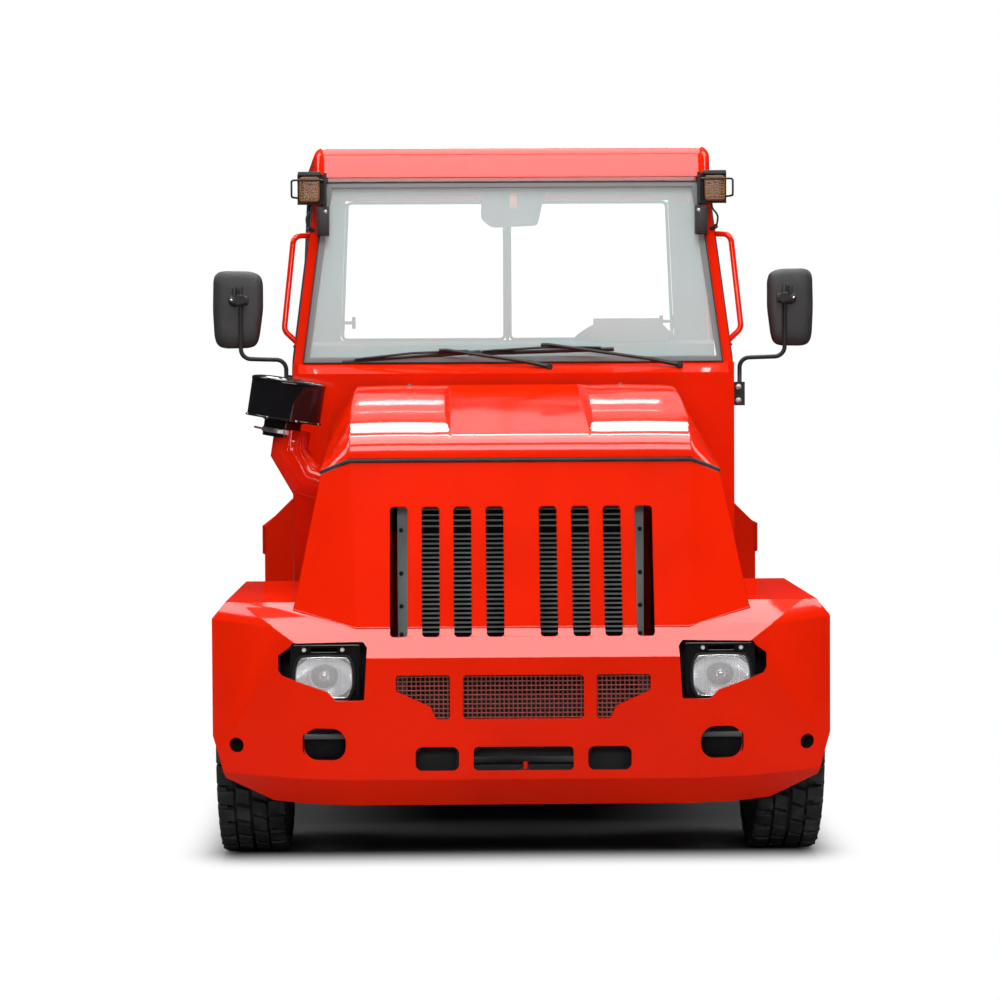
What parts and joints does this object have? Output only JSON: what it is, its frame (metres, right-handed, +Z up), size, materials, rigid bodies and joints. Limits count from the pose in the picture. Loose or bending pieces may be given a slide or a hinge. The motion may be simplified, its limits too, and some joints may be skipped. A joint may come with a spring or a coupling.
{
  "type": "airport baggage tug",
  "caption": "Red airport baggage tug: a compact tow tractor with an open-sided cab, folded front bumper, hinged hood, steered front wheels and a stepped rear hitch",
  "frame": {"origin": "ground level, at the centre of the tug's length and width", "axes": "+Z up, -Y is the front of the tug, +Y its rear hitch end, +X its left side"},
  "size_m": [1.8, 3.1, 2.0199],
  "materials": {
    "red_paint": "gloss bodywork paint",
    "chassis_black": "satin black chassis paint",
    "black_plastic": "textured black plastic",
    "mesh_black": "black wire mesh",
    "radiator_grey": "grey-green fins on black",
    "engine_grey": "painted cast iron",
    "seal_rubber": "soft black rubber",
    "cab_glass": "clear glass",
    "dash_plastic": "grained dark plastic",
    "wheel_plastic": "soft black plastic",
    "seat_cover": "black seat cover",
    "lamp_glass": "fluted clear glass",
    "amber_lens": "amber lens",
    "red_lens": "red lens",
    "tyre_rubber": "black tyre rubber",
    "rim_paint": "painted steel wheel",
    "pin_red": "painted steel pin and jaw",
    "mirror_black": "black mirror shell",
    "exhaust_grey": "heat-dulled exhaust steel"
  },
  "bodies": {
    "chassis": {"chassis_frame": "chassis_black", "frame_crossmembers": "chassis_black", "front_bumper": "red_paint", "bumper_screens": "mesh_black", "front_fenders": "red_paint", "nose_shell": "red_paint", "hood_hinges": "chassis_black", "fuel_tank": "chassis_black", "battery_box": "chassis_black", "exhaust": "exhaust_grey", "radiator": "radiator_grey", "hood_seal": "seal_rubber", "engine_block": "engine_grey", "air_elbow": "red_paint", "precleaner": "black_plastic", "cab_body": "red_paint", "cab_frame": "red_paint", "roof": "red_paint", "windscreen": "cab_glass", "rear_windows": "cab_glass", "dashboard": "dash_plastic", "steering_column": "dash_plastic", "seat_bases": "chassis_black", "seat_cushions": "seat_cover", "seat_backs": "seat_cover", "pedals": "chassis_black", "wipers": "chassis_black", "headlamps": "black_plastic", "headlamp_lenses": "lamp_glass", "fog_lamps": "black_plastic", "turn_lamps": "amber_lens", "lamp_guards": "chassis_black", "grab_handles": "red_paint", "mirror_arms": "chassis_black", "mirror_heads": "mirror_black", "cab_mirror": "mirror_black", "rear_body": "red_paint", "rear_cap": "red_paint", "side_steps": "chassis_black", "tail_lamps": "red_lens", "tow_hitch": "chassis_black", "front_crossmember": "chassis_black", "front_tow_pin": "pin_red", "front_axle": "chassis_black", "rear_axle": "chassis_black", "leaf_springs": "chassis_black"},
    "hood": {"hood": "red_paint"},
    "steering_wheel": {"steering_wheel": "wheel_plastic"},
    "knuckle_left": {"knuckle_left": "chassis_black"},
    "knuckle_right": {"knuckle_right": "chassis_black"},
    "tie_rod": {"tie_rod": "chassis_black"},
    "wheel_front_left": {"rim_front_left": "rim_paint", "tyre_front_left": "tyre_rubber"},
    "wheel_front_right": {"rim_front_right": "rim_paint", "tyre_front_right": "tyre_rubber"},
    "wheel_rear_left": {"rim_rear_left": "rim_paint", "tyre_rear_left": "tyre_rubber"},
    "wheel_rear_right": {"rim_rear_right": "rim_paint", "tyre_rear_right": "tyre_rubber"}
  },
  "joints": [
    {"name": "steer_right", "type": "hinge", "parent": "chassis", "child": "knuckle_right", "pos_m": [-0.6, -0.88, 0.336], "axis": [0, 0, 1], "range_deg": [-32, 32]},
    {"name": "steer_left", "type": "hinge", "parent": "chassis", "child": "knuckle_left", "pos_m": [0.6, -0.88, 0.336], "axis": [0, 0, 1], "range_deg": [-32, 32]},
    {"name": "tie_rod_pivot", "type": "hinge", "parent": "knuckle_right", "child": "tie_rod", "pos_m": [-0.6, -0.74, 0.27], "axis": [0, 0, 1], "range_deg": [-32, 32]},
    {"name": "steering_wheel_turn", "type": "hinge", "parent": "chassis", "child": "steering_wheel", "pos_m": [0.348, -0.05, 1.38], "axis": [0, 0.6428, 0.766], "range_deg": [-480, 480]},
    {"name": "wheel_front_left_spin", "type": "hinge", "parent": "knuckle_left", "child": "wheel_front_left", "pos_m": [0.735, -0.88, 0.336], "axis": [1, 0, 0], "continuous": true},
    {"name": "wheel_front_right_spin", "type": "hinge", "parent": "knuckle_right", "child": "wheel_front_right", "pos_m": [-0.735, -0.88, 0.336], "axis": [1, 0, 0], "continuous": true},
    {"name": "wheel_rear_left_spin", "type": "hinge", "parent": "chassis", "child": "wheel_rear_left", "pos_m": [0.675, 0.87, 0.352], "axis": [1, 0, 0], "continuous": true},
    {"name": "wheel_rear_right_spin", "type": "hinge", "parent": "chassis", "child": "wheel_rear_right", "pos_m": [-0.675, 0.87, 0.352], "axis": [1, 0, 0], "continuous": true},
    {"name": "hood_hinge", "type": "hinge", "parent": "chassis", "child": "hood", "pos_m": [0, -0.446, 1.284], "axis": [-1, 0, 0], "range_deg": [0, 50]}
  ],
  "couplings": [
    {"joint": "steer_left", "follows": "steer_right", "ratio": 1},
    {"joint": "tie_rod_pivot", "follows": "steer_right", "ratio": -1},
    {"joint": "steering_wheel_turn", "follows": "steer_right", "ratio": 15}
  ]
}
